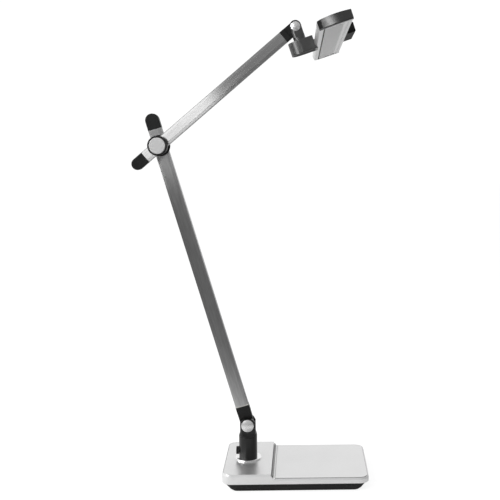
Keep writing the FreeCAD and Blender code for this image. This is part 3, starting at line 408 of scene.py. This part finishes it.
# ---- floor, world, lights and camera ----
def floor():
    """A pale sheet, shown white to the camera. The light it gives the lamp falls off with distance,
    as on a table in a dim room, and rises again behind the lamp."""
    bpy.ops.mesh.primitive_circle_add(vertices=96, radius=FLOOR_RADIUS, fill_type="NGON",
                                      location=(0, 0, 0))
    ground = bpy.context.object
    ground.name = "floor"
    m = Mat("floor_pale")
    m.put(Roughness=0.7, Specular_IOR_Level=0.0)
    ring = m.add("ShaderNodeVectorMath", operation="LENGTH")
    m.link(m.coords, ring.inputs[0])
    fade = m.add("ShaderNodeMapRange", interpolation_type="SMOOTHSTEP")
    fade.inputs["From Min"].default_value = FLOOR_NEAR
    fade.inputs["From Max"].default_value = FLOOR_FAR
    fade.inputs["To Min"].default_value = FLOOR_LIGHT
    fade.inputs["To Max"].default_value = FLOOR_DARK
    m.link(ring.outputs["Value"], fade.inputs["Value"])
    depth = m.add("ShaderNodeSeparateXYZ")
    m.link(m.coords, depth.inputs["Vector"])
    behind = m.add("ShaderNodeMapRange", interpolation_type="SMOOTHSTEP")
    behind.inputs["From Min"].default_value = GLOW_NEAR
    behind.inputs["From Max"].default_value = GLOW_FAR
    behind.inputs["To Max"].default_value = FLOOR_BACK
    m.link(depth.outputs["Y"], behind.inputs["Value"])
    path = m.add("ShaderNodeLightPath")
    shown = m.add("ShaderNodeMix", data_type="FLOAT")
    m.link(path.outputs["Is Camera Ray"], shown.inputs["Factor"])
    m.link(fade.outputs["Result"], shown.inputs["A"])
    shown.inputs["B"].default_value = FLOOR_SHOWN
    colour = m.add("ShaderNodeCombineColor")
    for channel in ("Red", "Green", "Blue"):
        m.link(shown.outputs["Result"], colour.inputs[channel])
    m.set("Base Color", colour.outputs["Color"])
    glow = m.add("ShaderNodeMix", data_type="FLOAT")
    m.link(path.outputs["Is Camera Ray"], glow.inputs["Factor"])
    m.link(behind.outputs["Result"], glow.inputs["A"])
    glow.inputs["B"].default_value = FLOOR_GLOW
    m.shader.inputs["Emission Color"].default_value = (1, 1, 1, 1)
    m.link(glow.outputs["Result"], m.shader.inputs["Emission Strength"])
    ground.data.materials.append(m.mat)


def world():
    """White to the camera. As the lamp sees it, the room is bright behind and dim on the camera's
    side, which gives metal its contrast."""
    w = bpy.data.worlds.new("studio")
    bpy.context.scene.world = w
    w.use_nodes = True
    tree = w.node_tree
    tree.nodes.clear()
    out = tree.nodes.new("ShaderNodeOutputWorld")
    coords = tree.nodes.new("ShaderNodeTexCoord")
    split = tree.nodes.new("ShaderNodeSeparateXYZ")
    tree.links.new(coords.outputs["Generated"], split.inputs["Vector"])
    depth = tree.nodes.new("ShaderNodeMapRange")
    depth.interpolation_type = "SMOOTHSTEP"
    depth.inputs["From Min"].default_value = ROOM_EDGE[0]
    depth.inputs["From Max"].default_value = ROOM_EDGE[1]
    rise = tree.nodes.new("ShaderNodeMapRange")
    rise.inputs["From Max"].default_value = ROOM_RISE
    rise.inputs["To Min"].default_value = ROOM_FRONT
    rise.inputs["To Max"].default_value = ROOM_HIGH
    tree.links.new(split.outputs["Z"], rise.inputs["Value"])
    tree.links.new(rise.outputs["Result"], depth.inputs["To Min"])
    depth.inputs["To Max"].default_value = ROOM_BACK
    skew = tree.nodes.new("ShaderNodeMath")
    skew.operation = "MULTIPLY_ADD"
    skew.inputs[1].default_value = ROOM_SKEW
    tree.links.new(split.outputs["X"], skew.inputs[0])
    tree.links.new(split.outputs["Y"], skew.inputs[2])
    tree.links.new(skew.outputs["Value"], depth.inputs["Value"])
    room = tree.nodes.new("ShaderNodeBackground")
    room.inputs["Color"].default_value = (1, 1, 1, 1)
    tree.links.new(depth.outputs["Result"], room.inputs["Strength"])
    white = tree.nodes.new("ShaderNodeBackground")
    white.inputs["Color"].default_value = (1, 1, 1, 1)
    white.inputs["Strength"].default_value = BACKDROP
    path = tree.nodes.new("ShaderNodeLightPath")
    mix = tree.nodes.new("ShaderNodeMixShader")
    tree.links.new(path.outputs["Is Camera Ray"], mix.inputs["Fac"])
    tree.links.new(room.outputs["Background"], mix.inputs[1])
    tree.links.new(white.outputs["Background"], mix.inputs[2])
    tree.links.new(mix.outputs["Shader"], out.inputs["Surface"])


def softbox(name, place, facing, across, width, height, radiance, spread=180):
    """A rectangular light at place, seen from the lamp in the direction facing, its width along across."""
    data = bpy.data.lights.new(name, "AREA")
    data.shape = "RECTANGLE"
    data.size, data.size_y = width, height
    data.energy = radiance * width * height * math.pi
    data.spread = math.radians(spread)
    lamp = bpy.data.objects.new(name, data)
    bpy.context.collection.objects.link(lamp)
    z = Vector(facing).normalized()
    x = Vector(across)
    x = (x - x.dot(z) * z).normalized()
    y = z.cross(x)
    lamp.matrix_world = Matrix(((x.x, y.x, z.x, place[0]), (x.y, y.y, z.y, place[1]),
                                (x.z, y.z, z.z, place[2]), (0, 0, 0, 1)))
    lamp.visible_camera = False
    return lamp


def link_light(lamp, node, state):
    """Keeps a light off one node (EXCLUDE), or on that node alone (INCLUDE), as flags and snoots do."""
    chosen = bpy.data.collections.new(lamp.name + "_flag")
    chosen.objects.link(NODES[node])
    lamp.light_linking.receiver_collection = chosen
    for entry in chosen.collection_objects:
        entry.light_linking.link_state = state


def kicker():
    """A light that the upper arm mirrors from its elbow to half way, where the light's edge falls."""
    lean = math.radians(UPPER_LEAN)
    arm = Vector((math.cos(lean), 0, math.sin(lean)))
    up = Vector((-math.sin(lean), 0, math.cos(lean)))
    sight = (Vector(MID_ARM) - Vector(EYE)).normalized()
    mirrored = Vector((sight.x, -sight.y, sight.z))
    edge = Vector(MID_ARM) + KICK_DISTANCE * mirrored
    place = edge - arm * KICK_HEIGHT / 2 + up * KICK_RAISE
    lamp = softbox("kicker", place, mirrored, up, KICK_WIDTH, KICK_HEIGHT, KICK_RADIANCE)
    link_light(lamp, "upper_tube", "INCLUDE")


def camera():
    data = bpy.data.cameras.new("camera")
    data.sensor_width = SENSOR
    data.lens = FOCAL_LENGTH
    data.shift_x = SHIFT
    data.clip_start, data.clip_end = 0.05, 40
    eye = bpy.data.objects.new("camera", data)
    bpy.context.collection.objects.link(eye)
    eye.location = EYE
    eye.rotation_euler = (math.pi / 2 - PITCH, 0, -YAW)
    bpy.context.scene.camera = eye


floor()
world()
key = softbox("key", (-1.21, -0.567, 1.10), (-0.906, -0.423, 0), (0, 0, 1), 1.04, 1.69, 4.0)
link_light(key, "upper_tube", "EXCLUDE")
softbox("side_strip", (-0.41, -0.30, 0.43), (-0.82, -0.50, -0.28), (0, 0, 1), 0.22, 0.30, 0.16, 30)
softbox("front_strip", (-0.12, -1.1, 0.62), (-0.30, -0.92, 0.03), (0, 0, 1), 0.07, 0.36, 0.10, 24)
kicker()
camera()
bpy.context.scene.view_settings.view_transform = "Standard"
bpy.context.scene.view_settings.look = "None"
